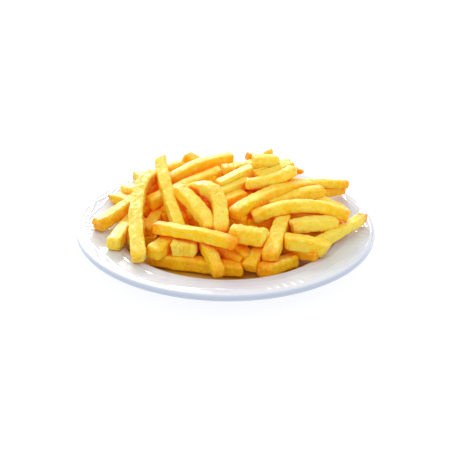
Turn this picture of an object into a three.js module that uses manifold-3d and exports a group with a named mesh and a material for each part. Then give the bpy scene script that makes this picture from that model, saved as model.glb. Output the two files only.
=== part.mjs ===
// A portion of french fries heaped on a round white plate.
//
// Millimetres, +Z up. The origin lies on the table under the middle of the plate.
// -Y is the diner's side of the plate and +X is on the diner's right.
import * as THREE from 'three';
import { mergeVertices } from 'three/addons/utils/BufferGeometryUtils.js';
import Module from 'manifold-3d';

// ---- Driving dimensions of the plate ----
const PLATE_RADIUS = 115;
const PLATE_HEIGHT = 21;
const PLATE_THICKNESS = 5;
const RIM_WIDTH = 30;
const RIM_RISE = 4.6;
const LIP_WIDTH = 5;
const LIP_STEP = 0.5;
const LIP_ROUND = 2.4;
const SHOULDER_ROUND = 3;
const WELL_RADIUS = 72;
const WELL_ROUND = 4.5;
const WELL_FLOOR = 7;
const FOOT_RADIUS = 67;
const FOOT_WIDTH = 6;
const FOOT_FLARE = 1.5;
const PLATE_SIDES = 72;
const CURVE_STEPS = 3;

// ---- Driving dimensions of the heap ----
const GAP = 0.3;
const FRY_WIDTH = 9.5;
const FRY_HEIGHT = 8.5;
const FRY_CORNER = 0.24;
const TIP_INSET = 1.4;
const BLUNT_TIP = 0.82;
const POINTED_TIP = 0.35;
const POINT_LENGTH = 9;
const BENT_FROM = 4;
const BENT_BAYS = 4;
const SEED = 20;
const WIDTH_SPREAD = 0.8;
const HEIGHT_SPREAD = 0.6;
const LENGTH_SPREAD = 0.06;
const PLACE_SPREAD_DEG = 7;
const TURN_SPREAD_DEG = 14;
const TILT_SPREAD = 2;
const REACH_SPREAD = 4;
const LEVEL_BELOW = 15;

// The core is a low dome under the fries, where the heap's middle is out of sight.
const CORE_CENTRE = [-2, 6];
const CORE_HALF_WIDTH = 54;
const CORE_HALF_DEPTH = 42;
const CORE_HEIGHT = 27;
const CORE_SIDES = 24;
const CORE_RINGS = 6;

// Each fry on the outside of the heap has a place of its own: its two ends, how far the middle
// of its course is pulled away from the straight line (its bend), its width and height, and
// whether each end is cut square or runs to a point.
const SHOWN_FRIES = [
  ['front floor', [-55, -49, 13], [13, -65, 13], [0, -3, 0], 10, 10, 'cut cut'],
  ['front slope', [-17, -41, 27], [-4, -80, 17], [0, 0, 0], 9, 9, 'cut cut'],
  ['left stub', [-52, -61, 22], [-36, -34, 23], [0, 0, 0], 11, 10, 'cut cut'],
  ['middle stub', [-38, -52, 23], [-20, -54, 23], [0, 0, 0], 10, 11, 'cut cut'],
  ['left hook', [-60, -70, 22], [-54, 31, 43], [-19, 40, 17], 10, 9, 'cut cut'],
  ['left rim long', [-97, -21, 24], [-52, 33, 38], [0, 0, -3], 10, 10, 'cut cut'],
  ['left rim pale', [-81, -50, 23], [-70, 8, 20], [0, 0, 0], 10, 10, 'cut cut'],
  ['left blob', [-69, -37, 20], [-60, -6, 20], [0, 0, 0], 9, 9, 'cut cut'],
  ['leaning thin', [-34, -37, 30], [-53, 40, 54], [-3, 0, 3], 9, 8, 'cut point'],
  ['front cross', [-51, -41, 33], [8, -63, 32], [0, 0, 3], 10, 9, 'cut cut'],
  ['broad', [-36, -3, 46], [-10, -43, 32], [4, 0, 4], 11, 9, 'cut cut'],
  ['bent front', [-23, -5, 47], [-3, -47, 31], [11, 24, 15], 11, 10, 'cut cut'],
  ['slat one', [-6, 6, 46], [22, 28, 52], [0, 0, 0], 9, 8, 'cut cut'],
  ['slat two', [-6, -3, 43], [18, 16, 46], [0, 0, 0], 9, 8, 'cut cut'],
  ['slat three', [-4, -13, 40], [14, 2, 41], [0, 0, 0], 9, 8, 'cut cut'],
  ['slat four', [-3, -8, 34], [22, 8, 34], [0, 0, 0], 9, 8, 'cut cut'],
  ['long arc', [5, -32, 39], [72, 30, 37], [-4, 3, 10], 9, 9, 'cut cut'],
  ['big arc', [20, -27, 35], [92, -17, 33], [-4, 2, 16], 9, 9, 'cut cut'],
  ['under long arc', [30, -8, 37], [76, 19, 38], [0, 0, 0], 9, 9, 'cut cut'],
  ['right slope', [60, 24, 33], [92, 2, 27], [0, 0, 0], 9, 8, 'cut cut'],
  ['right back thin', [50, 31, 39], [100, 43, 33], [0, 0, 0], 7, 6, 'cut cut'],
  ['right back low', [44, 18, 28], [97, 49, 27], [0, 0, 0], 9, 8, 'cut cut'],
  ['top bent', [15, 4, 49], [54, 25, 53], [-2, -9, -3], 9, 8, 'cut cut'],
  ['top second', [25, 15, 49], [53, 33, 53], [0, 0, 0], 8, 8, 'cut cut'],
  ['top third', [21, 22, 50], [51, 41, 52], [0, 0, 0], 8, 8, 'cut cut'],
  ['top block', [21, 26, 59], [41, 34, 56], [0, 0, 0], 10, 9, 'cut cut'],
  ['top tip', [24, 66, 30], [37, 51, 60], [0, 0, 0], 9, 7, 'cut point'],
  ['top brown tip', [42, 60, 44], [17, 47, 55], [0, 0, 0], 7, 6, 'cut cut'],
  ['right brown tip', [34, 48, 45], [63, 39, 45], [0, 0, 0], 7, 6, 'cut point'],
  ['top knob', [-3, 26, 50], [24, 38, 50], [0, 0, 0], 9, 9, 'cut cut'],
  ['back arch', [-46, 25, 41], [5, 50, 52], [0, 0, 8], 9, 9, 'cut cut'],
  ['under back arch', [-60, 0, 33], [-3, 32, 47], [0, 0, 2], 10, 10, 'cut cut'],
  ['back peak', [-34, 61, 49], [2, 44, 34], [0, 0, 0], 11, 9, 'cut cut'],
  ['back left', [-52, 42, 43], [-33, 60, 42], [0, 0, 0], 9, 8, 'cut cut'],
  ['far left top', [-77, 77, 25], [-51, 32, 28], [0, 0, 0], 9, 8, 'cut cut'],
  ['far left middle', [-84, 48, 24], [-60, 24, 27], [0, 0, 0], 11, 11, 'cut cut'],
  ['far left low', [-96, 38, 23], [-70, 22, 22], [0, 0, 0], 10, 8, 'point cut'],
  ['left under', [-66, 2, 25], [-38, 26, 29], [0, 0, 0], 10, 10, 'cut cut'],
  ['left deep', [-60, -22, 20], [-44, 16, 28], [0, 0, 0], 10, 9, 'cut cut'],
  ['left deeper', [-49, -7, 24], [-25, 4, 27], [0, 0, 0], 9, 9, 'cut cut'],
  ['middle block', [3, -51, 34], [28, -54, 32], [0, 0, 0], 12, 12, 'cut cut'],
  ['right front', [44, -22, 33], [31, -68, 23], [0, 0, 3], 11, 9, 'cut cut'],
  ['front right short', [17, -68, 15], [32, -41, 25], [0, 0, 0], 10, 9, 'cut cut'],
  ['front dark one', [5, -45, 24], [18, -60, 18], [0, 0, 0], 9, 8, 'cut cut'],
  ['front dark two', [-8, -44, 18], [13, -60, 16], [0, 0, 0], 10, 9, 'cut cut'],
  ['front right low', [25, -71, 14], [51, -51, 14], [0, 0, 0], 10, 10, 'cut cut'],
  ['right cross', [42, -50, 28], [73, -54, 23], [0, 0, 3], 10, 10, 'cut cut'],
  ['right orange stub', [36, -35, 14], [66, -58, 20], [0, 0, 0], 9, 7, 'cut cut'],
  ['right rim', [61, -46, 22], [106, -4, 26], [2, -8, 2], 8, 7, 'cut cut'],
  ['right block', [48, -38, 33], [82, -24, 30], [0, 0, 2], 10, 10, 'cut cut'],
  ['right shaded one', [12, -24, 26], [37, -18, 28], [0, 0, 0], 9, 9, 'cut cut'],
  ['right shaded two', [46, -17, 32], [76, -20, 31], [0, 0, 0], 9, 9, 'cut cut'],
  ['right deep', [50, -34, 17], [88, -8, 22], [0, 0, 0], 9, 9, 'cut cut'],
  ['back cross one', [-55, 63, 32], [-4, 79, 31], [0, 0, 3], 9, 8, 'cut cut'],
  ['back cross two', [8, 80, 31], [54, 60, 33], [0, 0, 2], 9, 9, 'cut cut'],
  ['back cross three', [-20, 70, 37], [28, 63, 38], [0, 0, 0], 9, 8, 'cut cut'],
  ['back rim one', [-34, 92, 25], [6, 87, 27], [0, 0, 0], 10, 9, 'cut cut'],
];

// The covered fries lie along arcs round the core, each arc higher and smaller than the last.
// Angles are in degrees, anticlockwise from +X.
const COVERED_ARCS = [
  { count: 5, from: 0, to: 180, halfWidth: 58, halfDepth: 52, height: 12.5, length: 60 },
  { count: 4, from: 10, to: 170, halfWidth: 48, halfDepth: 40, height: 21, length: 62 },
  { count: 7, from: 0, to: 310, halfWidth: 35, halfDepth: 27, height: 30, length: 58 },
  { count: 4, from: 0, to: 270, halfWidth: 19, halfDepth: 14, height: 36, length: 54 },
];

// The fries at the back lean on the heap, with their outer ends on the rim or above the well.
const BACK_TIERS = [
  { count: 6, from: 48, to: 132, reach: 88, foot: 23.5, inner: 34, top: 37, turn: 50 },
  { count: 5, from: 58, to: 126, reach: 72, foot: 31, inner: 24, top: 44, turn: 90 },
];

const wasm = await Module();
wasm.setup();

// A linear congruential generator, so that every build draws the same numbers.
function seededRandom(seed) {
  const multiplier = 1664525;
  const increment = 1013904223;
  const range = 2 ** 32;
  let state = seed;
  return () => {
    state = (state * multiplier + increment) % range;
    return state / range;
  };
}

const random = seededRandom(SEED);

function spread(amount) {
  return (random() - 0.5) * 2 * amount;
}

// ---- Plate ----

// The section runs from the axis out along the underside, round the lip and back along the top.
// raise lifts only the top, which makes the room that the heap keeps clear of the plate.
function plateSection(raise) {
  const shoulder = PLATE_RADIUS - RIM_WIDTH;
  const shoulderTop = PLATE_HEIGHT - RIM_RISE;
  const shoulderUnder = shoulderTop - PLATE_THICKNESS;
  const roundRise = (SHOULDER_ROUND * RIM_RISE) / RIM_WIDTH;
  const lipUnder = PLATE_HEIGHT - PLATE_THICKNESS;
  const floorUnder = WELL_FLOOR - PLATE_THICKNESS;
  const footInner = FOOT_RADIUS - FOOT_WIDTH;
  const path = new THREE.Path();
  path.moveTo(0, floorUnder);
  path.lineTo(footInner - FOOT_FLARE, floorUnder);
  path.lineTo(footInner, 0);
  path.lineTo(FOOT_RADIUS, 0);
  path.lineTo(FOOT_RADIUS + FOOT_FLARE, floorUnder);
  path.quadraticCurveTo(
    WELL_RADIUS + WELL_ROUND, floorUnder,
    shoulder - SHOULDER_ROUND, shoulderUnder - SHOULDER_ROUND,
  );
  path.quadraticCurveTo(shoulder, shoulderUnder, shoulder + SHOULDER_ROUND, shoulderUnder + roundRise);
  path.lineTo(PLATE_RADIUS - LIP_ROUND, lipUnder);
  path.quadraticCurveTo(PLATE_RADIUS, lipUnder, PLATE_RADIUS, PLATE_HEIGHT - LIP_ROUND);
  path.quadraticCurveTo(
    PLATE_RADIUS, PLATE_HEIGHT + raise,
    PLATE_RADIUS - LIP_ROUND, PLATE_HEIGHT + raise,
  );
  path.lineTo(PLATE_RADIUS - LIP_WIDTH, PLATE_HEIGHT - LIP_STEP + raise);
  path.lineTo(shoulder + SHOULDER_ROUND, shoulderTop + roundRise + raise);
  path.quadraticCurveTo(
    shoulder, shoulderTop + raise,
    shoulder - SHOULDER_ROUND, shoulderTop - SHOULDER_ROUND + raise,
  );
  path.quadraticCurveTo(WELL_RADIUS + WELL_ROUND, WELL_FLOOR + raise, WELL_RADIUS, WELL_FLOOR + raise);
  path.lineTo(0, WELL_FLOOR + raise);
  return path.getPoints(CURVE_STEPS);
}

function latheAboutZ(section, sides) {
  const geometry = new THREE.LatheGeometry(section, sides);
  geometry.rotateX(Math.PI / 2);
  return geometry;
}

// ---- Solids for joining and cutting ----

function toSolid(geometry) {
  const bare = geometry.clone();
  bare.deleteAttribute('normal');
  bare.deleteAttribute('uv');
  const merged = mergeVertices(bare, 1e-4);
  const index = merged.index.array;
  const triangles = [];
  for (let i = 0; i < index.length; i += 3) {
    const [a, b, c] = [index[i], index[i + 1], index[i + 2]];
    if (a !== b && b !== c && c !== a) {
      triangles.push(a, b, c);
    }
  }
  const mesh = new wasm.Mesh({
    numProp: 3,
    vertProperties: new Float32Array(merged.attributes.position.array),
    triVerts: new Uint32Array(triangles),
  });
  return new wasm.Manifold(mesh);
}

function toGeometry(solid) {
  const mesh = solid.getMesh();
  const geometry = new THREE.BufferGeometry();
  geometry.setAttribute('position', new THREE.BufferAttribute(mesh.vertProperties, 3));
  geometry.setIndex(new THREE.BufferAttribute(mesh.triVerts, 1));
  geometry.computeVertexNormals();
  return geometry;
}

// Loose scraps and sealed hollows are separate shells of the joined solid: only the outer one stays.
function largestShell(solid) {
  const shells = solid.decompose();
  return shells.reduce((largest, shell) => (shell.volume() > largest.volume() ? shell : largest));
}

// ---- Fries ----

// A rectangle as wide and high as the fry, with its corners cut off where the fry shows.
function fryCorners(width, height, styles) {
  const cut = FRY_CORNER * Math.min(width, height);
  const x = width / 2;
  const y = height / 2;
  if (styles[0] === 'plain') {
    return [[x, -y], [x, y], [-x, y], [-x, -y]];
  }
  return [
    [x, -y + cut], [x, y - cut], [x - cut, y], [-x + cut, y],
    [-x, y - cut], [-x, -y + cut], [-x + cut, -y], [x - cut, -y],
  ];
}

function tipScale(distance, style) {
  if (style === 'point' && distance < POINT_LENGTH) {
    return POINTED_TIP + (1 - POINTED_TIP) * (distance / POINT_LENGTH);
  }
  return style === 'cut' && distance === 0 ? BLUNT_TIP : 1;
}

// Distances along the fry at which its section is placed: more of them where it is bent.
function fryStations(length, bend, styles) {
  if (styles[0] === 'plain') {
    return [0, length];
  }
  const first = styles[0] === 'point' ? POINT_LENGTH : TIP_INSET;
  const last = length - (styles[1] === 'point' ? POINT_LENGTH : TIP_INSET);
  const bays = bend.length() > BENT_FROM ? BENT_BAYS : 1;
  const stations = [0];
  for (let i = 0; i <= bays; i += 1) {
    stations.push(first + ((last - first) * i) / bays);
  }
  stations.push(length);
  return stations;
}

function fryGeometry(from, to, bend, width, height, ends) {
  const start = new THREE.Vector3(...from);
  const end = new THREE.Vector3(...to);
  const pull = new THREE.Vector3(...bend);
  const corner = start.clone().add(end).multiplyScalar(0.5).add(pull);
  const course = new THREE.QuadraticBezierCurve3(start, corner, end);
  const length = start.distanceTo(end);
  const styles = ends.split(' ');
  const corners = fryCorners(width, height, styles);
  const count = corners.length;
  const stations = fryStations(length, pull, styles);
  const up = new THREE.Vector3(0, 0, 1);
  const positions = [];
  for (const station of stations) {
    const centre = course.getPoint(station / length);
    const along = course.getTangent(station / length);
    const across = up.clone().cross(along).normalize();
    const raised = along.clone().cross(across);
    const scale = Math.min(tipScale(station, styles[0]), tipScale(length - station, styles[1]));
    for (const [x, y] of corners) {
      const point = centre.clone().addScaledVector(across, x * scale).addScaledVector(raised, y * scale);
      positions.push(point.x, point.y, point.z);
    }
  }
  const index = [];
  for (let ring = 0; ring < stations.length - 1; ring += 1) {
    for (let i = 0; i < count; i += 1) {
      const a = ring * count + i;
      const b = ring * count + ((i + 1) % count);
      index.push(a, b, b + count, a, b + count, a + count);
    }
  }
  const lastRing = (stations.length - 1) * count;
  for (let i = 1; i < count - 1; i += 1) {
    index.push(0, i + 1, i);
    index.push(lastRing, lastRing + i, lastRing + i + 1);
  }
  const geometry = new THREE.BufferGeometry();
  geometry.setAttribute('position', new THREE.Float32BufferAttribute(positions, 3));
  geometry.setIndex(index);
  return geometry;
}

function shownFries() {
  return SHOWN_FRIES.map(([, from, to, bend, width, height, ends]) =>
    fryGeometry(from, to, bend, width, height, ends));
}

function coveredFry(from, to) {
  const width = FRY_WIDTH + spread(WIDTH_SPREAD);
  const height = FRY_HEIGHT + spread(HEIGHT_SPREAD);
  return fryGeometry(from, to, [0, 0, 0], width, height, 'plain plain');
}

function placeAngle(row, i) {
  const degrees = row.from + ((row.to - row.from) * i) / (row.count - 1) + spread(PLACE_SPREAD_DEG);
  return THREE.MathUtils.degToRad(degrees);
}

function arcFries(arc) {
  const fries = [];
  for (let i = 0; i < arc.count; i += 1) {
    const around = placeAngle(arc, i);
    const tangent = Math.atan2(arc.halfDepth * Math.cos(around), -arc.halfWidth * Math.sin(around));
    const heading = tangent + THREE.MathUtils.degToRad(spread(TURN_SPREAD_DEG));
    const half = arc.length * (0.5 + spread(LENGTH_SPREAD));
    const lift = arc.height > LEVEL_BELOW ? spread(TILT_SPREAD) : 0;
    const x = CORE_CENTRE[0] + arc.halfWidth * Math.cos(around);
    const y = CORE_CENTRE[1] + arc.halfDepth * Math.sin(around);
    const runX = half * Math.cos(heading);
    const runY = half * Math.sin(heading);
    const from = [x - runX, y - runY, arc.height - lift];
    const to = [x + runX, y + runY, arc.height + lift];
    fries.push(coveredFry(from, to));
  }
  return fries;
}

function backFries(tier) {
  const fries = [];
  for (let i = 0; i < tier.count; i += 1) {
    const outward = placeAngle(tier, i);
    const inward = outward + THREE.MathUtils.degToRad(spread(tier.turn));
    const reach = tier.reach + spread(REACH_SPREAD);
    const top = tier.top + spread(TILT_SPREAD);
    const from = [reach * Math.cos(outward), reach * Math.sin(outward), tier.foot];
    const to = [tier.inner * Math.cos(inward), tier.inner * Math.sin(inward), top];
    fries.push(coveredFry(from, to));
  }
  return fries;
}

function coreGeometry() {
  const bottom = WELL_FLOOR + GAP;
  const section = [new THREE.Vector2(0, bottom)];
  for (let i = 0; i <= CORE_RINGS; i += 1) {
    const angle = (i / CORE_RINGS) * (Math.PI / 2);
    section.push(new THREE.Vector2(Math.cos(angle), bottom + CORE_HEIGHT * Math.sin(angle)));
  }
  const geometry = latheAboutZ(section, CORE_SIDES);
  geometry.scale(CORE_HALF_WIDTH, CORE_HALF_DEPTH, 1);
  geometry.translate(...CORE_CENTRE, 0);
  return geometry;
}

// ---- The two sub-parts ----

function makePlate() {
  const glaze = new THREE.MeshStandardMaterial({ color: 0xf4f6fa, roughness: 0.12, metalness: 0 });
  const plate = new THREE.Mesh(latheAboutZ(plateSection(0), PLATE_SIDES), glaze);
  plate.name = 'plate';
  return plate;
}

function makeFries() {
  const pieces = [coreGeometry(), ...shownFries()];
  pieces.push(...COVERED_ARCS.flatMap(arcFries));
  pieces.push(...BACK_TIERS.flatMap(backFries));
  const joined = wasm.Manifold.union(pieces.map(toSolid));
  const keepOut = toSolid(latheAboutZ(plateSection(GAP), PLATE_SIDES));
  const potato = new THREE.MeshStandardMaterial({ color: 0xf2c24a, roughness: 0.55, metalness: 0 });
  const fries = new THREE.Mesh(toGeometry(largestShell(joined.subtract(keepOut))), potato);
  fries.name = 'fries';
  return fries;
}

const group = new THREE.Group();
group.add(makePlate());
group.add(makeFries());

export default group;
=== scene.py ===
"""The looks of a portion of french fries on a white plate.

Sizes and places below are in millimetres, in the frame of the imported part, and become metres
when a mesh is made. -Y is the diner's side of the plate and +X is on the diner's right.
"""
import math

import bpy
import numpy as np
from mathutils import Matrix, Vector, noise
from mathutils.bvhtree import BVHTree


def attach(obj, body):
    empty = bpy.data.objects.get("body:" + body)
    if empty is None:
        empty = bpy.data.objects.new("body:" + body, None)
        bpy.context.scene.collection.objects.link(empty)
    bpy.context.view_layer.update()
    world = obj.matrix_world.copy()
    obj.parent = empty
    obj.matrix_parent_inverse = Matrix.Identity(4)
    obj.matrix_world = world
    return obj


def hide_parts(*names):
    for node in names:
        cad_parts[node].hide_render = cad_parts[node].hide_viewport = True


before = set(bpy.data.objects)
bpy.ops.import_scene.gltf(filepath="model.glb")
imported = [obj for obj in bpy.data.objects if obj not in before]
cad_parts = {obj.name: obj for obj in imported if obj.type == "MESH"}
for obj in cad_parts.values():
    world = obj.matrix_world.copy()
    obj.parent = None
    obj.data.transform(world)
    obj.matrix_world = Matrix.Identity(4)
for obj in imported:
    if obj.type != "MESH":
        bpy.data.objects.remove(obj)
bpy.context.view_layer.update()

MM = 0.001

# ---- Camera: the photograph's point of view ----
IMAGE_SIZE = 453
SENSOR_WIDTH = 36.0
CAMERA_DISTANCE = 600.0
CAMERA_ELEVATION_DEG = 25.7
CAMERA_ROLL_DEG = 0.6
CAMERA_FOCAL_PX = 771.0
RIM_CENTRE_PX = (225.5, 218.7)
CAMERA_CLIP_M = (0.01, 50.0)

# ---- Plate, as in the part's source ----
PLATE_RADIUS = 115.0
PLATE_HEIGHT = 21.0
PLATE_THICKNESS = 5.0
RIM_WIDTH = 30.0
RIM_RISE = 4.6
LIP_WIDTH = 5.0
LIP_STEP = 0.5
LIP_ROUND = 2.4
SHOULDER_ROUND = 3.0
WELL_RADIUS = 72.0
WELL_ROUND = 4.5
WELL_FLOOR = 7.0
FOOT_RADIUS = 67.0
FOOT_WIDTH = 6.0
FOOT_FLARE = 1.5
FOOT_BEVEL = 0.3
FOOT_BLEND = 0.6
FOOT_SINK = 0.2
FOOT_OUTER_BEVEL = (0.4, 0.2)
# Radii of plain rings under the well, under the rim and on the well's floor.
UNDER_RING = 30.0
UNDER_RIM_RING = 100.0
UNDER_RIM_SWELL = 0.3
WELL_RINGS = (66.0, 58.0, 48.0, 36.0, 24.0, 12.0, 0.0)
# How finely the plate is cut, round it and along each part of its section.
PLATE_SIDES = 576
LIP_STEPS = 6
RIM_STEPS = 46
SHOULDER_STEPS = 8
UNDER_SHOULDER_STEPS = 5
WELL_STEPS = 10
UNDER_WELL_STEPS = 8

# The rim's relief repeats seven times: a group of short ribs, and swags that meet between groups.
RELIEF_REPEATS = 7
RELIEF_FIRST_DEG = 190.0
RELIEF_HEIGHT = 0.3
RIB_COUNT = 5
RIB_SPACING_DEG = 3.2
RIB_RADII = (101.5, 109.5)
RIB_HALF_WIDTH = 1.5
RIB_END_FADE = 0.6
GROUP_MARGIN = 0.7
GROUP_FADE_DEG = 0.6
SCALLOP_RADIUS = 111.6
SCALLOP_DEPTH = 0.35
SCALLOP_RISE = 0.8
SCALLOP_HALF_WIDTH = 0.55
SWAG_RADIUS = 110.8
SWAG_DROP = 3.4
SWAG_HALF_WIDTH = 0.8
SWAG_FADE_DEG = 0.5
INNER_LINE_RADIUS = 106.8
INNER_LINE_DROP = 4.2
INNER_LINE_RISE = 0.7
WAVE_RADIUS = 93.5
WAVE_SWING = 1.8
WAVE_RISE = 0.5
WAVE_HALF_WIDTH = 1.1
PLAIN_LIP_RINGS = 4

# ---- Form of a fry ----
SECTION_POINTS = 40
CORNER_ANGLES = (4, 24, 45, 66, 86)
ROUNDING_ANGLES = (0, 22, 45, 67)
CAP_SHARES = (0.2, 0.5, 0.8)
SHOWN_STEP = 0.95
COVERED_STEP = 2.2
# The least and most of a corner's radius and of an end's rounding, as shares of the smaller side.
CORNER = (0.13, 0.24)
ROUNDING = (0.13, 0.26)
KNOBBLY_ROUNDING = 0.08
LEAST_HALF = 0.4
LEAST_BODY_RINGS = 3
FULLEST_CORNER = 0.97
END_SOFTNESS = 0.2
WAVE_LENGTH = 15.0
UNEVEN = 0.11
TAPER = 0.08
SINK = -0.12
SINK_SPREAD = 0.2
SLANT = 0.12
LONG_SLANT = 0.85
BROKEN_SLANT = 0.425
SLANT_REACH = 8.0
STEEP_REACH = 2.6
STEEP_SLANT = 1.4
CAP_LEAN = 0.99
CAP_SWELL = 0.5
ROLL_DEG = 4.0
TWIST_DEG = 8.0
SWAY = 0.6
SWAY_LENGTH = 20.0
SWAY_NOISE = (9.0, 4.0)
NOISE_FROM = 3.0
NOISE_RANGE = 90.0
NOISE_SHIFT = (7.13, 3.71, 5.37)
POINT_LENGTH = 9.0
POINTED_TIP = 0.35

# Rises of a fry's surface: how high each kind is, and how far apart its bumps are.
BROAD_LUMP = 0.22
BROAD_LUMP_SIZE = 8.0
LUMP = 0.17
LUMP_SIZE = 3.4
WRINKLE = 0.16
WRINKLE_SIZE = 2.8
WRINKLE_STRETCH = (1.0, 1.0, 0.2)
RAGGED_EDGE = 0.3
CRAG = 0.45
CRAG_SIZE = 4.2
KNOB = 0.9
KNOB_SIZE = 2.1
KNOB_HOLLOW = -0.15
GRAIN = 0.14
KNOBBLY_GRAIN = 0.16
GRAIN_SIZE = 1.4

# Where a fry is browned, golden and crusty, and where its upward faces take a painted highlight.
EDGE_SHARPNESS = 4
PATCH_SIZE = 9.0
FINE_PATCH_SIZE = 3.0
BROWN_REACH = 6.5
BROWN_UNEVEN = 0.6
EDGE_BROWN = 0.16
EDGE_BROWN_FROM = 0.4
PALE_CUT = 0.35
TONE_UNEVEN = 0.2
TONE_FINE = 0.1
CRUST_MEAN = 0.6
CRUST_UNEVEN = 0.8
BLISTER_RISE = 0.5
# The painted highlight on upward faces: how far up a face must look, and how much of it is pale.
HIGHLIGHT_FACING_FROM = 0.6
HIGHLIGHT_LEAST = 0.1
HIGHLIGHT_BY_KNOBS = 1.5
HIGHLIGHT_COVER = 0.7

# ---- The heap ----
SHOWN_SEED = 7
FRY_WIDTH = 9.5
FRY_HEIGHT = 8.5
WIDTH_SPREAD = 0.8
HEIGHT_SPREAD = 0.6
LENGTH_SPREAD = 0.06
PLACE_SPREAD_DEG = 7.0
TURN_SPREAD_DEG = 14.0
TILT_SPREAD = 2.0
REACH_SPREAD = 4.0
LEVEL_BELOW = 15.0
SEED = 20
CORE_CENTRE = (-2.0, 6.0)
FILLER_PLACE_SPREAD_DEG = 12.0
FILLER_INNERMOST = 0.15
FILLER_HALF_LENGTH = (21.0, 28.0)
FILLER_EDGE = 66.0
FILLER_KEPT = 0.35
FILLER_LEAST = 0.55
FILLER_TILT = 3.0
UNDER_SEED = 11
UNDER_GOLDEN = (0.35, 0.7)
UNDER_BROWN = 0.5
UNDER_KNOBBLY = 0.5
UNDER_BEND = (2.0, 2.0, 1.0)

CRUSTY_FROM = 0.4
GOLDEN_FROM = 0.4

# ---- Colours, light and floor ----
PALE = (0.96, 0.75, 0.08, 1)
YELLOW = (0.98, 0.60, 0.002, 1)
YELLOW_AT = 0.4
GOLDEN = (0.98, 0.42, 0.0, 1)
BROWN = (0.92, 0.29, 0.0, 1)
# Painted shade: the deep orange that the hollows between fries turn towards.
HOLLOW_SHADE = (1.0, 0.24, 0.0, 1)
FLECK = (1.0, 0.84, 0.22, 1)
# Painted highlight: the pale crust colour put on what faces up, and how much of it.
PAINTED_HIGHLIGHT = (0.96, 0.86, 0.45, 1)
PAINTED_HIGHLIGHT_SHARE = 0.45
SPOT = (0.55, 0.25, 0.03, 1)
SPOT_SHARE = 0.6
# How much of the painted shade the most closed-in hollows take.
HOLLOW_SHADE_SHARE = 0.8
# Texture of the crust: how far apart its marks are, how strong they are and where they start.
PATCH_SPACING = 7.0
BLOTCH_SPACING = 2.8
PIT_SPACING = 1.6
SPECK_SPACING = 1.0
SPOT_SPACING = 2.1
PATCH_SHADE = 0.8
BLOTCH_SHADE = 1.0
FLECKS = 0.10
KNOBBLY_FLECKS = 0.7
BLISTER_FLECKS = 0.5
FLECK_SPECKS = (0.54, 0.64)
# Where the specks of the painted highlight start and end.
HIGHLIGHT_SPECKS = (0.48, 0.62)
SPOT_SPECKS = (0.82, 0.86)
BROWN_LEAST = 0.1
BROWN_BLOTCHES = 1.5
PIT_SHARE = 0.7
PIT_DEPTH = 0.6
PIT_STRENGTH = 0.9
COAT_PIT_DEPTH = 0.7
POTATO_ROUGHNESS = 0.3
BLOTCH_ROUGHNESS = 0.3
POTATO_IOR = 1.1
POTATO_SUBSURFACE = 0.4
POTATO_COAT_IOR = 1.25
POTATO_COAT_ROUGHNESS = 0.3
POTATO_COAT = 1.0
SUBSURFACE_RADIUS = (1.0, 0.5, 0.15)
SUBSURFACE_DEPTH = 2.0
# How a point's openness is felt for, by rays that start just off the surface.
OPENNESS_RAYS = 48
OPENNESS_REACH = 18.0
OPENNESS_START = 0.5
LEAST_FACING = 0.15
OPEN_ENOUGH = 0.6
# The glaze, its painted shade on the lip, and the film of oil on it, which also serves as painted shade and
# painted reflection of the fries beside it.
GLAZE = (0.70, 0.73, 0.79, 1)
# Painted shade: the darker, bluer glaze on the lip's outer wall, and how wide it is.
PAINTED_LIP_SHADE = (0.45, 0.51, 0.62, 1)
LIP_SHADE_WIDTH = 1.2
GLAZE_IOR = 1.52
GLAZE_ROUGHNESS = 0.09
GLAZE_UNEVEN = 0.06
GLAZE_UNEVEN_SPACING = 30.0
RIPPLE_SPACING = 9.0
RIPPLE_DEPTH = 0.12
RIPPLE_STRENGTH = 0.5
# Oil beside the fries and in the well, golden brown; it also stands as painted shade and painted reflection
# of the fries beside it.
OIL_AND_SHADE = (0.58, 0.31, 0.015, 1)
OIL_REACH = 12.0
OIL_EDGE = 84.0
OIL_FADE = 4.0
OIL_ON_RIM = 0.03
OIL_IN_WELL = 1.5
# Floor, sky and key light.
LIGHT_BOUNCES = 16
FLOOR_SIZE = 12.0
FLOOR_COLOUR = (0.45, 0.45, 0.45, 1)
FLOOR_GLOW = 0.62
FLOOR_ROUGHNESS = 0.9
FLOOR_SPECULAR = 0.1
WORLD_STRENGTH = 0.98
FRONT_LOW = (0.86, 0.89, 0.95, 1)
FRONT_HIGH = (1.08, 1.09, 1.11, 1)
BACK_LOW = (4.0, 4.0, 4.0, 1)
BACK_HIGH = (0.6, 0.6, 0.62, 1)
SKY_TOP = (1.02, 1.02, 1.04, 1)
FRONT_FADE = (0.0, 0.4)
BACK_FADE = (0.03, 0.28)
TOP_FADE = (0.45, 0.95)
BEHIND_FADE = (0.0, 0.7)
KEY_DIRECTION = (-0.24, 0.885, 0.40)
KEY_STRENGTH = 2.45
KEY_ANGLE_DEG = 26.0
KEY_COLOUR = (1.0, 0.985, 0.96)

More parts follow.
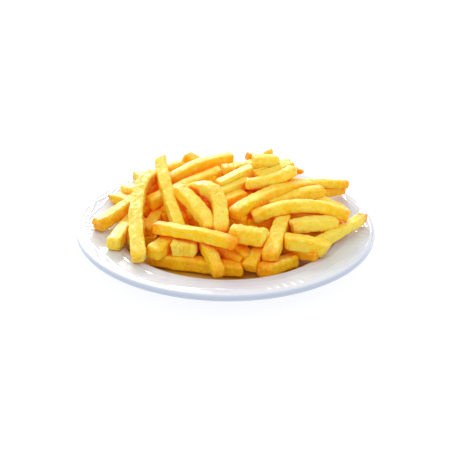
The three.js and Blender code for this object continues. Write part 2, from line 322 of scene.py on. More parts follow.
# Each fry on the outside of the heap: name, its two ends, its bend, width and height, the kind of
# each end, how golden it is, how browned each end is, and how knobbly its crust is.
SHOWN_FRIES = [
    ("front floor", (-55, -49, 13), (13, -65, 13), (0, -3, 0), 10, 10, "cut cut", 0.70, 0.1, 0.3, 0.2),
    ("front slope", (-17, -41, 27), (-4, -80, 17), (0, 0, 0), 9, 9, "cut cut", 0.50, 0.1, 0.5, 0.5),
    ("middle stub", (-38, -52, 23), (-20, -54, 23), (0, 0, 0), 10, 11, "cut cut", 0.15, 0.0, 0.0, 0.9),
    ("left stub", (-52, -61, 22), (-36, -34, 23), (0, 0, 0), 11, 10, "cut cut", 0.35, 0.06, 0.1, 0.42),
    ("left hook", (-60, -70, 22), (-54, 31, 43), (-19, 40, 17), 10, 9, "cut cut", 0.15, 0.15, 0.2, 1.0),
    ("left rim long", (-97, -21, 24), (-52, 33, 38), (0, 0, -3), 10, 10, "cut cut", 0.35, 0.7, 0.1, 0.7),
    ("left rim pale", (-81, -50, 23), (-70, 8, 20), (0, 0, 0), 10, 10, "cut cut", 0.12, 0.02, 0.1, 0.4),
    ("left blob", (-69, -37, 20), (-60, -6, 20), (0, 0, 0), 9, 9, "cut cut", 0.15, 0.02, 0.1, 0.6),
    ("leaning thin", (-34, -37, 30), (-53, 40, 54), (-3, 0, 3), 9, 8, "cut right", 0.20, 0.1, 0.1, 0.3),
    ("front cross", (-51, -41, 33), (8, -63, 32), (0, 0, 3), 10, 9, "cut cut", 0.38, 0.95, 0.95, 0.3),
    ("broad", (-36, -3, 46), (-10, -43, 32), (4, 0, 4), 11, 9, "cut cut", 0.20, 0.3, 0.1, 0.4),
    ("bent front", (-23, -5, 47), (-3, -47, 31), (11, 24, 15), 11, 10, "left cut", 0.15, 0.2, 0.1, 0.6),
    ("slat one", (-6, 6, 46), (22, 28, 52), (0, 0, 0), 9, 8, "cut cut", 0.08, 0.2, 0.1, 0.2),
    ("slat two", (-6, -3, 43), (18, 16, 46), (0, 0, 0), 9, 8, "cut cut", 0.02, 0.1, 0.1, 0.2),
    ("slat three", (-4, -13, 40), (14, 2, 41), (0, 0, 0), 9, 8, "cut cut", 0.25, 0.2, 0.2, 0.2),
    ("slat four", (-3, -8, 34), (22, 8, 34), (0, 0, 0), 9, 8, "cut cut", 0.35, 0.2, 0.2, 0.3),
    ("long arc", (5, -32, 39), (72, 30, 37), (-4, 3, 10), 9, 9, "cut cut", 0.30, 0.6, 0.1, 0.4),
    ("big arc", (20, -27, 35), (92, -17, 33), (-4, 2, 16), 9, 9, "cut cut", 0.25, 0.2, 0.4, 0.2),
    ("under long arc", (30, -8, 37), (76, 19, 38), (0, 0, 0), 9, 9, "cut cut", 0.20, 0.1, 0.1, 0.2),
    ("right slope", (60, 24, 33), (92, 2, 27), (0, 0, 0), 9, 8, "cut cut", 0.30, 0.1, 0.2, 0.3),
    ("right back thin", (50, 31, 39), (100, 43, 33), (0, 0, 0), 7, 6, "cut cut", 0.30, 0.1, 0.5, 0.2),
    ("right back low", (44, 18, 28), (97, 49, 27), (0, 0, 0), 9, 8, "cut cut", 0.70, 0.1, 0.4, 0.3),
    ("top bent", (15, 4, 49), (54, 25, 53), (-2, -9, -3), 9, 8, "cut cut", 0.10, 0.1, 0.1, 0.2),
    ("top second", (25, 15, 49), (53, 33, 53), (0, 0, 0), 8, 8, "cut cut", 0.08, 0.1, 0.1, 0.2),
    ("top third", (21, 22, 50), (51, 41, 52), (0, 0, 0), 8, 8, "cut cut", 0.08, 0.1, 0.1, 0.2),
    ("top block", (21, 26, 59), (41, 34, 56), (0, 0, 0), 10, 9, "cut cut", 0.05, 0.1, 0.0, 0.2),
    ("top tip", (24, 66, 30), (37, 51, 60), (0, 0, 0), 9, 7, "cut point", 0.15, 0.1, 0.1, 0.2),
    ("top brown tip", (42, 60, 44), (17, 47, 55), (0, 0, 0), 7, 6, "cut cut", 0.70, 0.1, 0.7, 0.2),
    ("right brown tip", (34, 48, 45), (63, 39, 45), (0, 0, 0), 7, 6, "cut point", 0.70, 0.1, 0.9, 0.2),
    ("top knob", (-3, 26, 50), (24, 38, 50), (0, 0, 0), 9, 9, "cut cut", 0.30, 0.2, 0.1, 1.0),
    ("back arch", (-46, 25, 41), (5, 50, 52), (0, 0, 8), 9, 9, "cut cut", 0.30, 0.1, 0.2, 0.2),
    ("under back arch", (-60, 0, 33), (-3, 32, 47), (0, 0, 2), 10, 10, "cut cut", 0.30, 0.2, 0.2, 0.2),
    ("back peak", (-34, 61, 49), (2, 44, 34), (0, 0, 0), 11, 9, "cut cut", 0.45, 0.5, 0.1, 0.3),
    ("back left", (-52, 42, 43), (-33, 60, 42), (0, 0, 0), 9, 8, "cut cut", 0.35, 0.1, 0.1, 0.6),
    ("far left top", (-77, 77, 25), (-51, 32, 28), (0, 0, 0), 9, 8, "cut cut", 0.35, 0.3, 0.1, 0.3),
    ("far left middle", (-84, 48, 24), (-60, 24, 27), (0, 0, 0), 11, 11, "cut cut", 0.25, 0.0, 0.1, 0.2),
    ("far left low", (-96, 38, 23), (-70, 22, 22), (0, 0, 0), 10, 8, "point cut", 0.60, 0.7, 0.1, 0.3),
    ("left under", (-66, 2, 25), (-38, 26, 29), (0, 0, 0), 10, 10, "cut cut", 0.45, 0.1, 0.1, 0.3),
    ("left deep", (-60, -22, 20), (-44, 16, 28), (0, 0, 0), 10, 9, "cut cut", 0.35, 0.3, 0.1, 0.3),
    ("left deeper", (-49, -7, 24), (-25, 4, 27), (0, 0, 0), 9, 9, "cut cut", 0.60, 0.2, 0.1, 0.3),
    ("middle block", (3, -51, 34), (29, -54, 32), (0, 0, 0), 12, 12, "cut broken", 0.35, 0.1, 0.0, 0.6),
    ("right front", (44, -22, 33), (31, -68, 23), (0, 0, 3), 11, 9, "cut cut", 0.25, 0.1, 0.6, 0.5),
    ("front right short", (17, -68, 15), (32, -41, 25), (0, 0, 0), 10, 9, "cut cut", 0.50, 0.2, 0.1, 0.3),
    ("front dark one", (5, -45, 24), (18, -60, 18), (0, 0, 0), 9, 8, "cut cut", 0.70, 0.2, 0.4, 0.3),
    ("front dark two", (-8, -44, 18), (13, -60, 16), (0, 0, 0), 10, 9, "cut cut", 0.60, 0.2, 0.3, 0.3),
    ("front right low", (25, -71, 14), (51, -51, 14), (0, 0, 0), 10, 10, "cut cut", 0.50, 0.7, 0.2, 0.4),
    ("right cross", (42, -50, 28), (73, -54, 23), (0, 0, 3), 10, 10, "cut broken", 0.22, 0.1, 0.1, 0.3),
    ("right orange stub", (36, -35, 14), (66, -58, 20), (0, 0, 0), 9, 7, "cut cut", 0.80, 0.2, 0.5, 0.3),
    ("right rim", (61, -46, 22), (106, -4, 26), (2, -8, 2), 8, 7, "cut cut", 0.06, 0.1, 1.0, 0.3),
    ("right block", (48, -38, 33), (82, -24, 30), (0, 0, 2), 10, 10, "cut cut", 0.02, 0.1, 0.2, 0.6),
    ("right shaded one", (12, -24, 26), (37, -18, 28), (0, 0, 0), 9, 9, "cut cut", 0.80, 0.2, 0.3, 0.3),
    ("right shaded two", (46, -17, 32), (76, -20, 31), (0, 0, 0), 9, 9, "cut cut", 0.60, 0.2, 0.2, 0.3),
    ("right deep", (50, -34, 17), (88, -8, 22), (0, 0, 0), 9, 9, "cut cut", 0.60, 0.2, 0.2, 0.2),
    ("back cross one", (-55, 63, 32), (-4, 79, 31), (0, 0, 3), 9, 8, "cut cut", 0.35, 0.2, 0.3, 0.3),
    ("back cross two", (8, 80, 31), (54, 60, 33), (0, 0, 2), 9, 9, "cut cut", 0.30, 0.1, 0.2, 0.4),
    ("back cross three", (-20, 70, 37), (28, 63, 38), (0, 0, 0), 9, 8, "cut cut", 0.25, 0.1, 0.3, 0.3),
    ("back rim one", (-34, 92, 25), (6, 87, 27), (0, 0, 0), 10, 9, "cut cut", 0.40, 0.4, 0.2, 0.3),
]

# The covered fries lie along arcs round the core, each arc higher and smaller than the last.
COVERED_ARCS = [
    {"count": 5, "from": 0, "to": 180, "half_width": 58, "half_depth": 52, "height": 12.5, "length": 60},
    {"count": 4, "from": 10, "to": 170, "half_width": 48, "half_depth": 40, "height": 21, "length": 62},
    {"count": 7, "from": 0, "to": 310, "half_width": 35, "half_depth": 27, "height": 30, "length": 58},
    {"count": 4, "from": 0, "to": 270, "half_width": 19, "half_depth": 14, "height": 36, "length": 54},
]

# The fries at the back lean on the heap, with their outer ends on the rim or above the well.
BACK_TIERS = [
    {"count": 6, "from": 48, "to": 132, "reach": 88, "foot": 23.5, "inner": 34, "top": 37, "turn": 50},
    {"count": 5, "from": 58, "to": 126, "reach": 72, "foot": 31, "inner": 24, "top": 44, "turn": 90},
]

# Fries inside the heap, which close the gaps that the outer ones leave.
FILLER_LAYERS = [
    {"count": 12, "height": 13.0, "half_width": 50, "half_depth": 40},
    {"count": 12, "height": 20.0, "half_width": 42, "half_depth": 33},
    {"count": 10, "height": 27.0, "half_width": 32, "half_depth": 24},
]


# ---- Meshes ----

class Pieces:
    """Gathers several closed shapes into one mesh with float attributes on its points."""

    def __init__(self):
        self.points = []
        self.normals = []
        self.faces = []
        self.values = {}
        self.count = 0

    def add(self, points, normals, faces, **values):
        self.points.append(points)
        self.normals.append(normals)
        self.faces.extend([tuple(i + self.count for i in face) for face in faces])
        for name, value in values.items():
            self.values.setdefault(name, []).append(value)
        self.count += len(points)

    def make(self, name, material):
        points = np.concatenate(self.points) * MM
        mesh = bpy.data.meshes.new(name)
        mesh.from_pydata(points.tolist(), [], self.faces)
        mesh.polygons.foreach_set("use_smooth", [True] * len(mesh.polygons))
        for key, value in self.values.items():
            attribute = mesh.attributes.new(key, "FLOAT", "POINT")
            attribute.data.foreach_set("value", np.concatenate(value).astype(np.float32))
        mesh.update()
        mesh.materials.append(material)
        obj = bpy.data.objects.new(name, mesh)
        bpy.context.scene.collection.objects.link(obj)
        return obj


def ring_faces(ring_count, around):
    """Faces between rings of points, and a fan to each of the two tips, which follow the rings."""
    faces = []
    for r in range(ring_count - 1):
        for i in range(around):
            a = r * around + i
            b = r * around + (i + 1) % around
            faces.append((a, b, b + around, a + around))
    tip = ring_count * around
    base = tip - around
    for i in range(around):
        following = (i + 1) % around
        faces.append((tip, following, i))
        faces.append((tip + 1, base + i, base + following))
    return faces


def noise_at(points, size, seed):
    """Smooth noise from about -1 to 1, with bumps of about the given size in millimetres."""
    shift = Vector([seed * part for part in NOISE_SHIFT])
    return np.array([noise.noise(Vector(p) / size + shift) for p in points])


class Random:
    """A linear congruential generator with the part's own constants, so both draw alike."""

    MULTIPLIER = 1664525
    INCREMENT = 1013904223
    RANGE = 2 ** 32

    def __init__(self, seed):
        self.state = seed

    def unit(self):
        self.state = (self.state * self.MULTIPLIER + self.INCREMENT) % self.RANGE
        return self.state / self.RANGE

    def spread(self, amount):
        return (self.unit() - 0.5) * 2 * amount


# ---- One fry ----

def section_plan():
    """The places of a fry's points round its section, anticlockwise.

    Returns the share of the half width and height at which each point's centre lies, and the
    direction in which the corner's radius carries it outwards from there.
    """
    centres = []
    outward = []
    flat_points = SECTION_POINTS // 4 - len(CORNER_ANGLES)
    signs = ((1, 1), (-1, 1), (-1, -1), (1, -1))
    for k, sign in enumerate(signs):
        for angle in CORNER_ANGLES:
            turn = math.radians(90 * k + angle)
            centres.append(sign)
            outward.append((math.cos(turn), math.sin(turn)))
        following = signs[(k + 1) % 4]
        face = math.radians(90 * (k + 1))
        for i in range(flat_points):
            t = (i + 1) / (flat_points + 1)
            centres.append([a + (b - a) * t for a, b in zip(sign, following)])
            outward.append((math.cos(face), math.sin(face)))
    return np.array(centres, float), np.array(outward, float)


SECTION_CENTRES, SECTION_OUTWARD = section_plan()


def fry_rings(length, rounding, step):
    """One row for each ring of points along a fry.

    A row holds the distance along the fry, how far the ring lies inside the plain section, how
    far its normals lean towards the end, and its share of the section, which is under 1 on a cap.
    """
    end = [(0.0, rounding, -1.0, share) for share in CAP_SHARES]
    for degrees in ROUNDING_ANGLES:
        turn = math.radians(degrees)
        end.append((rounding * (1 - math.cos(turn)), rounding * (1 - math.sin(turn)), -math.cos(turn), 1.0))
    body = max(LEAST_BODY_RINGS, int(round((length - 2 * rounding) / step)))
    rings = list(end)
    for i in range(body + 1):
        rings.append((rounding + (length - 2 * rounding) * i / body, 0.0, 0.0, 1.0))
    rings += [(length - distance, inset, -lean, share) for distance, inset, lean, share in reversed(end)]
    return np.array(rings)


def fry_course(start, end, bend, distances, length):
    """Centres and axes (across, raised, along) of a fry's bent course at the given distances."""
    a = np.array(start, float)
    b = np.array(end, float)
    corner = (a + b) / 2 + np.array(bend, float)
    t = (distances / length)[..., None]
    centre = (1 - t) ** 2 * a + 2 * t * (1 - t) * corner + t ** 2 * b
    along = 2 * (1 - t) * (corner - a) + 2 * t * (b - corner)
    along /= np.linalg.norm(along, axis=-1, keepdims=True)
    across = np.cross(np.array((0.0, 0.0, 1.0)), along)
    across /= np.linalg.norm(across, axis=-1, keepdims=True)
    raised = np.cross(along, across)
    return centre, across, raised, along


def end_slant(style, draw):
    """How far an end's plane leans across and upwards, as slopes."""
    sideways = draw.spread(SLANT)
    upwards = draw.spread(SLANT)
    if style == "left":
        sideways = -LONG_SLANT
    elif style == "right":
        sideways = LONG_SLANT
    elif style == "broken":
        sideways = -BROKEN_SLANT
    return sideways, upwards


def noise_along(distances, spacing, place):
    """Two noises along a fry, across and raised, as one row for each distance."""
    return np.array([[noise.noise(Vector((d / spacing, *place))),
                      noise.noise(Vector((d / spacing, *place[::-1])))] for d in distances])


def surface_rise(local, edge, knobbly, seed):
    """How far each point of a fry rises above its plain form, in millimetres."""
    rise = BROAD_LUMP * noise_at(local, BROAD_LUMP_SIZE, seed) + LUMP * noise_at(local, LUMP_SIZE, seed + 1)
    rise = rise + WRINKLE * noise_at(local * np.array(WRINKLE_STRETCH), WRINKLE_SIZE, seed + 2)
    rise = rise + (RAGGED_EDGE * edge + CRAG * knobbly) * noise_at(local, CRAG_SIZE, seed + 6)
    rise = rise + knobbly * KNOB * np.maximum(noise_at(local, KNOB_SIZE, seed + 3), KNOB_HOLLOW)
    return rise + (GRAIN + KNOBBLY_GRAIN * knobbly) * noise_at(local, GRAIN_SIZE, seed + 7)


def fry_colours(look, local, edge, rise, normals, ring_distance, length, rounding, seed):
    """How browned, golden, knobbly and blistered each point is, and how much painted highlight it takes, the
    two tips last.
    """
    golden, brown_start, brown_end, knobbly = look
    distance = local[:, 2]
    patch = noise_at(local, PATCH_SIZE, seed + 4)
    fine = noise_at(local, FINE_PATCH_SIZE, seed + 5)
    brown = brown_start * np.exp(-(np.maximum(distance, 0) / BROWN_REACH) ** 2)
    brown = brown + brown_end * np.exp(-(np.maximum(length - distance, 0) / BROWN_REACH) ** 2)
    brown = brown * (1.0 + BROWN_UNEVEN * fine) + EDGE_BROWN * edge * (EDGE_BROWN_FROM + fine)
    pale = np.zeros_like(ring_distance)
    for from_tip, end_brown in ((ring_distance, brown_start), (length - ring_distance, brown_end)):
        if end_brown == 0:
            pale = pale + PALE_CUT * np.exp(-(from_tip / rounding) ** 2)
    pale = np.repeat(pale, SECTION_POINTS, axis=1).ravel()
    tone = golden - pale + TONE_UNEVEN * patch + TONE_FINE * fine
    crust = np.append(knobbly * (CRUST_MEAN + CRUST_UNEVEN * patch), [knobbly, knobbly])
    # A painted highlight on faces that look up, more where the crust is knobbly.
    upward = np.clip((normals[:, 2] - HIGHLIGHT_FACING_FROM) / (1 - HIGHLIGHT_FACING_FROM), 0, 1)
    cover = np.clip(HIGHLIGHT_COVER + np.append(patch, [0, 0]), 0, 1)
    return {
        "brown": np.clip(np.append(brown, [brown_start, brown_end]), 0, 1),
        "tone": np.clip(np.append(tone, [tone[0], tone[-1]]), 0, 1),
        "knobbly": np.clip(crust, 0, 1),
        "blister": np.append(np.clip(rise / BLISTER_RISE, 0, 1), [0, 0]),
        "frost": upward * min(1.0, HIGHLIGHT_LEAST + HIGHLIGHT_BY_KNOBS * knobbly) * cover,
    }


def add_fry(pieces, start, end, bend, width, height, ends, look, step, draw):
    """Adds one fry. look is (golden, brown at start, brown at end, knobbly)."""
    knobbly = look[-1]
    length = float(np.linalg.norm(np.array(end, float) - np.array(start, float)))
    styles = ends.split()
    seed = draw.unit() * NOISE_RANGE + NOISE_FROM
    least = min(width, height)
    rounding = least * (ROUNDING[0] + (ROUNDING[1] - ROUNDING[0]) * draw.unit() + KNOBBLY_ROUNDING * knobbly)
    corner = least * (CORNER[0] + (CORNER[1] - CORNER[0]) * draw.unit())
    rings = fry_rings(length, rounding, step)
    ring_distance = rings[:, 0:1]
    inset = rings[:, 1:2]
    lean = rings[:, 2:3]
    share = rings[:, 3:4]

    # Uneven width and height, a slight taper, and faces that sink or swell.
    from_middle = ring_distance / length - 0.5
    wave = noise_along(rings[:, 0], WAVE_LENGTH, (seed, 0.0))
    widths = width * (1 + UNEVEN * wave[:, 0:1] + draw.spread(TAPER) * from_middle)
    heights = height * (1 + UNEVEN * wave[:, 1:2] + draw.spread(TAPER) * from_middle)
    narrow = np.ones_like(ring_distance)
    if styles[0] == "point":
        narrow = np.minimum(narrow, POINTED_TIP + (1 - POINTED_TIP) * ring_distance / POINT_LENGTH)
    if styles[1] == "point":
        narrow = np.minimum(narrow, POINTED_TIP + (1 - POINTED_TIP) * (length - ring_distance) / POINT_LENGTH)
    half_x = np.maximum(widths * narrow / 2 - inset, LEAST_HALF)
    half_y = np.maximum(heights * narrow / 2 - inset, LEAST_HALF)
    radius = np.minimum(corner + END_SOFTNESS * inset, FULLEST_CORNER * np.minimum(half_x, half_y))
    cx, cy = SECTION_CENTRES[:, 0], SECTION_CENTRES[:, 1]
    ox, oy = SECTION_OUTWARD[:, 0], SECTION_OUTWARD[:, 1]
    hollow = (SINK + draw.spread(SINK_SPREAD)) * ((1 - cx ** 2) + (1 - cy ** 2)) * (1 - np.abs(lean))
    x = share * (cx * (half_x - radius) + ox * (radius - hollow))
    y = share * (cy * (half_y - radius) + oy * (radius - hollow))

    # Ends cut aslant, with a cap that swells or sinks a little.
    distance = np.repeat(ring_distance, SECTION_POINTS, axis=1)
    for at_end, style in enumerate(styles):
        side = 1 if at_end else -1
        sideways, upwards = end_slant(style, draw)
        reach = SLANT_REACH * max(1.0, STEEP_REACH * max(abs(sideways), abs(upwards)) / STEEP_SLANT)
        from_tip = length - distance if at_end else distance
        fade = np.clip(1 - from_tip / reach, 0, 1) ** 2
        shift = fade * (sideways * x + upwards * y)
        swell = np.where(side * lean > CAP_LEAN, draw.spread(CAP_SWELL) * (1 - share ** 2), 0)
        distance = distance - side * (shift + swell)

    # A slow twist, and a course that sways.
    turn = math.radians(draw.spread(ROLL_DEG)) + math.radians(draw.spread(TWIST_DEG)) * from_middle
    x, y = x * np.cos(turn) - y * np.sin(turn), x * np.sin(turn) + y * np.cos(turn)
    nx = (ox * np.cos(turn) - oy * np.sin(turn)) * np.sqrt(1 - lean ** 2)
    ny = (ox * np.sin(turn) + oy * np.cos(turn)) * np.sqrt(1 - lean ** 2)
    centre, across, raised, along = fry_course(start, end, bend, distance, length)
    sway = SWAY * noise_along(rings[:, 0], SWAY_LENGTH, (seed + SWAY_NOISE[0], SWAY_NOISE[1]))
    points = centre + across * (x + sway[:, 0:1])[..., None] + raised * (y + sway[:, 1:2])[..., None]
    normals = across * nx[..., None] + raised * ny[..., None] + along * (lean * np.ones_like(x))[..., None]
    points = points.reshape(-1, 3)
    normals = normals.reshape(-1, 3)

    # Lumps, lengthways wrinkles, ragged edges and the knobs of the crust.
    local = np.stack([x.ravel(), y.ravel(), distance.ravel()], axis=1)
    edge = np.tile((np.abs(cx) * np.abs(cy)) ** EDGE_SHARPNESS, len(rings))
    rise = surface_rise(local, edge, knobbly, seed)
    points = points + normals * rise[:, None]

    tips = np.stack([points[:SECTION_POINTS].mean(axis=0), points[-SECTION_POINTS:].mean(axis=0)])
    points = np.concatenate([points, tips])
    normals = np.concatenate([normals, np.stack([-along[0, 0], along[-1, 0]])])
    colours = fry_colours(look, local, edge, rise, normals, ring_distance, length, rounding, seed)
    pieces.add(points, normals, ring_faces(len(rings), SECTION_POINTS), **colours)


def shown_fries():
    """The fries on the outside, as one mesh for each kind of crust."""
    kinds = {"crusty": Pieces(), "golden": Pieces(), "pale": Pieces()}
    draw = Random(SHOWN_SEED)
    for _, start, end, bend, width, height, ends, *look in SHOWN_FRIES:
        golden, _, _, knobbly = look
        kind = "crusty" if knobbly >= CRUSTY_FROM else "golden" if golden >= GOLDEN_FROM else "pale"
        add_fry(kinds[kind], start, end, bend, width, height, ends, look, SHOWN_STEP, draw)
    return kinds


def covered_rows():
    """The covered fries and those at the back, drawn as in the part's source."""
    draw = Random(SEED)

    def place_angle(row, i):
        degrees = row["from"] + (row["to"] - row["from"]) * i / (row["count"] - 1)
        return math.radians(degrees + draw.spread(PLACE_SPREAD_DEG))

    def size():
        width = FRY_WIDTH + draw.spread(WIDTH_SPREAD)
        return width, FRY_HEIGHT + draw.spread(HEIGHT_SPREAD)

    rows = []
    for arc in COVERED_ARCS:
        for i in range(arc["count"]):
            around = place_angle(arc, i)
            tangent = math.atan2(arc["half_depth"] * math.cos(around), -arc["half_width"] * math.sin(around))
            heading = tangent + math.radians(draw.spread(TURN_SPREAD_DEG))
            half = arc["length"] * (0.5 + draw.spread(LENGTH_SPREAD))
            lift = draw.spread(TILT_SPREAD) if arc["height"] > LEVEL_BELOW else 0.0
            x = CORE_CENTRE[0] + arc["half_width"] * math.cos(around)
            y = CORE_CENTRE[1] + arc["half_depth"] * math.sin(around)
            run_x, run_y = half * math.cos(heading), half * math.sin(heading)
            start = (x - run_x, y - run_y, arc["height"] - lift)
            end = (x + run_x, y + run_y, arc["height"] + lift)
            rows.append((start, end, size()))
    for tier in BACK_TIERS:
        for i in range(tier["count"]):
            outward = place_angle(tier, i)
            inward = outward + math.radians(draw.spread(tier["turn"]))
            reach = tier["reach"] + draw.spread(REACH_SPREAD)
            top = tier["top"] + draw.spread(TILT_SPREAD)
            start = (reach * math.cos(outward), reach * math.sin(outward), tier["foot"])
            end = (tier["inner"] * math.cos(inward), tier["inner"] * math.sin(inward), top)
            rows.append((start, end, size()))
    return rows


def filler_rows():
    """Fries inside the heap, shorter near its edge."""
    draw = Random(SEED + 1)
    shortest, longest = FILLER_HALF_LENGTH
    rows = []
    for layer in FILLER_LAYERS:
        for i in range(layer["count"]):
            around = math.radians(360 * i / layer["count"] + draw.spread(FILLER_PLACE_SPREAD_DEG))
            share = math.sqrt(FILLER_INNERMOST + (1 - FILLER_INNERMOST) * draw.unit())
            x = CORE_CENTRE[0] + share * layer["half_width"] * math.cos(around)
            y = CORE_CENTRE[1] + share * layer["half_depth"] * math.sin(around)
            heading = draw.unit() * math.pi
            half = shortest + (longest - shortest) * draw.unit()
            half *= max(FILLER_LEAST, min(1.0, (FILLER_EDGE - math.hypot(x, y)) / half + FILLER_KEPT))
            tilt = draw.spread(FILLER_TILT)
            lift = tilt if layer["height"] > LEVEL_BELOW else 0.0
            run_x, run_y = half * math.cos(heading), half * math.sin(heading)
            start = (x - run_x, y - run_y, layer["height"] - lift)
            end = (x + run_x, y + run_y, layer["height"] + lift)
            rows.append((start, end, (FRY_WIDTH, FRY_HEIGHT)))
    return rows


def under_fries():
    """The covered fries, those at the back and those inside, as one mesh."""
    pieces = Pieces()
    draw = Random(UNDER_SEED)
    for start, end, (width, height) in covered_rows() + filler_rows():
        golden = UNDER_GOLDEN[0] + (UNDER_GOLDEN[1] - UNDER_GOLDEN[0]) * draw.unit()
        look = (golden, UNDER_BROWN * draw.unit(), UNDER_BROWN * draw.unit(), UNDER_KNOBBLY * draw.unit())
        bend = tuple(draw.spread(amount) for amount in UNDER_BEND)
        add_fry(pieces, start, end, bend, width, height, "cut cut", look, COVERED_STEP, draw)
    return pieces


# ---- Plate ----

def curve(start, control, end, steps):
    """Points of a quadratic curve after its start."""
    points = []
    for i in range(1, steps + 1):
        t = i / steps
        points.append(tuple((1 - t) ** 2 * a + 2 * t * (1 - t) * b + t ** 2 * c
                            for a, b, c in zip(start, control, end)))
    return points


def plate_profile():
    """Radius and height of the plate's section, out along the underside and back along the top."""
    shoulder = PLATE_RADIUS - RIM_WIDTH
    shoulder_top = PLATE_HEIGHT - RIM_RISE
    shoulder_under = shoulder_top - PLATE_THICKNESS
    round_rise = SHOULDER_ROUND * RIM_RISE / RIM_WIDTH
    lip_under = PLATE_HEIGHT - PLATE_THICKNESS
    floor_under = WELL_FLOOR - PLATE_THICKNESS
    foot_inner = FOOT_RADIUS - FOOT_WIDTH
    cove = WELL_RADIUS + WELL_ROUND
    lip = PLATE_RADIUS - LIP_ROUND
    under = [
        (0.0, floor_under),
        (UNDER_RING, floor_under),
        (foot_inner - FOOT_FLARE - FOOT_BLEND, floor_under),
        (foot_inner - FOOT_FLARE, floor_under - FOOT_SINK),
        (foot_inner - FOOT_BEVEL, FOOT_BEVEL),
        (foot_inner + FOOT_BEVEL, 0.0),
        (FOOT_RADIUS - FOOT_OUTER_BEVEL[0], 0.0),
        (FOOT_RADIUS + FOOT_OUTER_BEVEL[1], FOOT_BEVEL),
        (FOOT_RADIUS + FOOT_FLARE, floor_under),
    ]
    bend = (shoulder - SHOULDER_ROUND, shoulder_under - SHOULDER_ROUND)
    under += curve(under[-1], (cove, floor_under), bend, UNDER_WELL_STEPS)
    rim_start = (shoulder + SHOULDER_ROUND, shoulder_under + round_rise)
    under += curve(under[-1], (shoulder, shoulder_under), rim_start, UNDER_SHOULDER_STEPS)
    under += [(UNDER_RIM_RING, 0.5 * (shoulder_under + lip_under) + UNDER_RIM_SWELL), (lip, lip_under)]
    widest = (PLATE_RADIUS, PLATE_HEIGHT - LIP_ROUND)
    under += curve(under[-1], (PLATE_RADIUS, lip_under), widest, LIP_STEPS)
    under += curve(under[-1], (PLATE_RADIUS, PLATE_HEIGHT), (lip, PLATE_HEIGHT), LIP_STEPS)
    top = []
    rim_out = PLATE_RADIUS - LIP_WIDTH
    rim_in = shoulder + SHOULDER_ROUND
    rim_top = PLATE_HEIGHT - LIP_STEP
    for i in range(1, LIP_STEPS + 1):
        t = i / LIP_STEPS
        eased = t * t * (3 - 2 * t)
        top.append((lip + (rim_out - lip) * t, PLATE_HEIGHT - LIP_STEP * eased))
    for i in range(1, RIM_STEPS + 1):
        t = i / RIM_STEPS
        top.append((rim_out + (rim_in - rim_out) * t, rim_top + (shoulder_top + round_rise - rim_top) * t))
    bend = (shoulder - SHOULDER_ROUND, shoulder_top - SHOULDER_ROUND)
    top += curve(top[-1], (shoulder, shoulder_top), bend, SHOULDER_STEPS)
    top += curve(top[-1], (cove, WELL_FLOOR), (WELL_RADIUS, WELL_FLOOR), WELL_STEPS)
    top += [(radius, WELL_FLOOR) for radius in WELL_RINGS]
    return under, top


def ridge(distance, half_width):
    """A rounded ridge of height 1 along the line where distance is 0."""
    return np.exp(-(distance / half_width) ** 2)


def smooth_step(distance, fade):
    """0 well below 0 and 1 well above it."""
    return 1 / (1 + np.exp(-distance / fade))


def rim_relief(radius, angle):
    """Height of the rim's relief at a radius in millimetres and an angle in radians."""
    sector = 2 * math.pi / RELIEF_REPEATS
    first = math.radians(RELIEF_FIRST_DEG)
    degrees = np.degrees((angle - first + sector / 2) % sector - sector / 2)
    away = np.abs(degrees)

    # A group of ribs across the rim, with scallops beyond their outer ends.
    height = np.zeros_like(angle)
    inner, outer = RIB_RADII
    reach = smooth_step(radius - inner, RIB_END_FADE) * smooth_step(outer - radius, RIB_END_FADE)
    half = (RIB_COUNT - 1) / 2
    for k in range(RIB_COUNT):
        off = math.radians(1) * (degrees - (k - half) * RIB_SPACING_DEG) * radius
        height = height + reach * ridge(off, RIB_HALF_WIDTH)
    group = (half + GROUP_MARGIN) * RIB_SPACING_DEG
    scallop = SCALLOP_RADIUS - SCALLOP_DEPTH * np.cos(2 * math.pi * degrees / RIB_SPACING_DEG)
    in_group = smooth_step(group - away, GROUP_FADE_DEG)
    height = height + SCALLOP_RISE * in_group * ridge(radius - scallop, SCALLOP_HALF_WIDTH)

    # Swags and an inner line that run from group to group.
    swing = np.clip((away - group) / (math.degrees(sector) / 2 - group), 0, 1)
    beside = smooth_step(away - group, SWAG_FADE_DEG)
    swag = SWAG_RADIUS - SWAG_DROP * np.sin(math.pi * swing)
    height = height + beside * ridge(radius - swag, SWAG_HALF_WIDTH)
    inner_line = INNER_LINE_RADIUS - INNER_LINE_DROP * swing
    height = height + INNER_LINE_RISE * beside * ridge(radius - inner_line, SWAG_HALF_WIDTH)

    # A low wave all round, nearer the well.
    wave = WAVE_RADIUS + WAVE_SWING * np.cos(RELIEF_REPEATS * (angle - first))
    height = height + WAVE_RISE * ridge(radius - wave, WAVE_HALF_WIDTH)
    return RELIEF_HEIGHT * height


def plate_shape():
    """The plate's points and faces, turned round Z."""
    under, top = plate_profile()
    profile = under + top
    angles = np.arange(PLATE_SIDES) * 2 * math.pi / PLATE_SIDES
    relief_from = len(under) + PLAIN_LIP_RINGS
    relief_to = len(under) + LIP_STEPS + RIM_STEPS
    rings = []
    for index, (radius, height) in enumerate(profile[1:-1], start=1):
        rise = np.zeros(PLATE_SIDES)
        if relief_from <= index < relief_to:
            rise = rim_relief(radius, angles)
        ring = np.stack([radius * np.cos(angles), radius * np.sin(angles), height + rise], axis=1)
        rings.append(ring)
    points = np.concatenate([np.concatenate(rings), [[0, 0, profile[0][1]]], [[0, 0, profile[-1][1]]]])
    return points, ring_faces(len(rings), PLATE_SIDES)


# ---- Light reaching the fries ----

